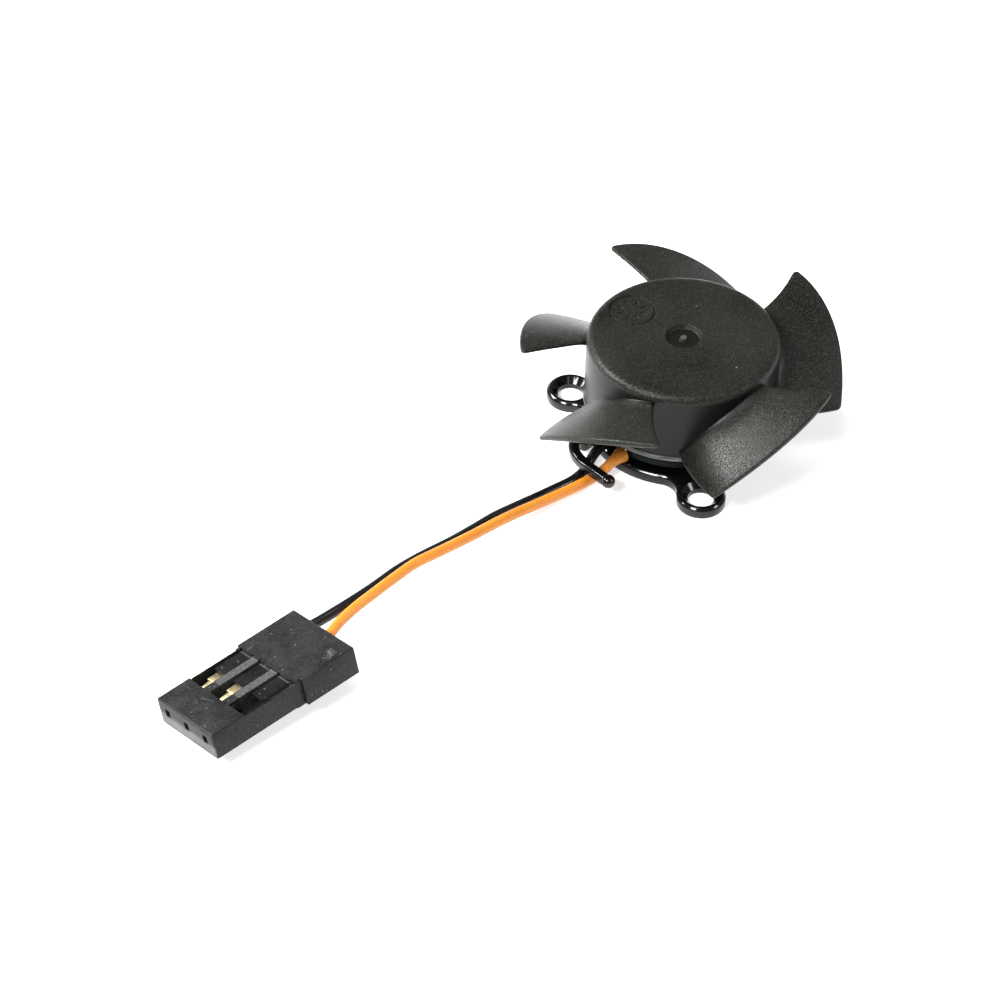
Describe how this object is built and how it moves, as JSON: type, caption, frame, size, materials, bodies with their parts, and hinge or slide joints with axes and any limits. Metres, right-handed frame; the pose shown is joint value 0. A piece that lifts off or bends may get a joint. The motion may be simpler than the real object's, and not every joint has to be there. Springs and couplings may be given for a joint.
{
  "type": "open-frame cooling fan for a speed controller",
  "caption": "Small open-frame axial fan: black base plate with screw ears and a cable hook, a bladed black impeller, and a black and orange lead ending in a servo-style plug",
  "frame": {"origin": "on the rotor's axis at the underside of the base plate, the face that the fan is screwed down on", "axes": "+Z is the rotor's axis and points from the base plate to the top of the hub; the first screw ear points along -Y; +X completes the frame"},
  "size_m": [0.0617, 0.0497, 0.0101],
  "materials": {
    "anodised_plate": "gloss black anodised aluminium",
    "glass_filled_nylon": "satin, finely speckled",
    "plug_plastic": "matte moulded, lightly scuffed",
    "black_wire_skin": "satin insulation",
    "orange_wire_skin": "satin insulation",
    "terminal_plating": "pale gold plating",
    "label_foil": "plain satin foil",
    "brass_tube": "turned",
    "bearing_steel": "polished",
    "bearing_cage": "satin",
    "lamination_steel": "stacked laminations",
    "insulator_plastic": "moulded",
    "enamelled_copper": "enamelled wire",
    "board_laminate": "solder-resist",
    "chip_epoxy": "moulded epoxy",
    "ceramic_body": "fired ceramic",
    "solder_tin": "bright solder",
    "yoke_steel": "drawn steel",
    "bonded_magnet": "bonded ferrite",
    "spring_steel": "satin spring steel"
  },
  "bodies": {
    "base": {"base_plate": "anodised_plate", "underside_label": "label_foil", "bearing_tube": "brass_tube", "lower_bearing_outer_ring": "bearing_steel", "lower_bearing_balls": "bearing_cage", "upper_bearing_outer_ring": "bearing_steel", "upper_bearing_balls": "bearing_cage", "stator_core": "lamination_steel", "lower_insulator": "insulator_plastic", "upper_insulator": "insulator_plastic", "coil_1": "enamelled_copper", "coil_2": "enamelled_copper", "coil_3": "enamelled_copper", "coil_4": "enamelled_copper", "driver_board": "board_laminate", "driver_chip": "chip_epoxy", "filter_capacitor": "ceramic_body", "bias_resistor": "chip_epoxy", "clamp_diode": "chip_epoxy", "winding_pin_1": "solder_tin", "winding_pin_2": "solder_tin", "winding_pin_3": "solder_tin", "black_solder_joint": "solder_tin", "orange_solder_joint": "solder_tin", "black_wire": "black_wire_skin", "orange_wire": "orange_wire_skin", "plug_housing": "plug_plastic", "black_terminal": "terminal_plating", "orange_terminal": "terminal_plating"},
    "rotor": {"impeller": "glass_filled_nylon", "rotor_yoke": "yoke_steel", "ring_magnet": "bonded_magnet", "shaft": "bearing_steel", "lower_bearing_inner_ring": "bearing_steel", "upper_bearing_inner_ring": "bearing_steel", "preload_spring": "spring_steel", "retaining_clip": "spring_steel", "thrust_washer": "spring_steel"}
  },
  "joints": [
    {"name": "rotor_spin", "type": "hinge", "parent": "base", "child": "rotor", "pos_m": [0, 0, 0], "axis": [0, 0, 1], "continuous": true}
  ]
}
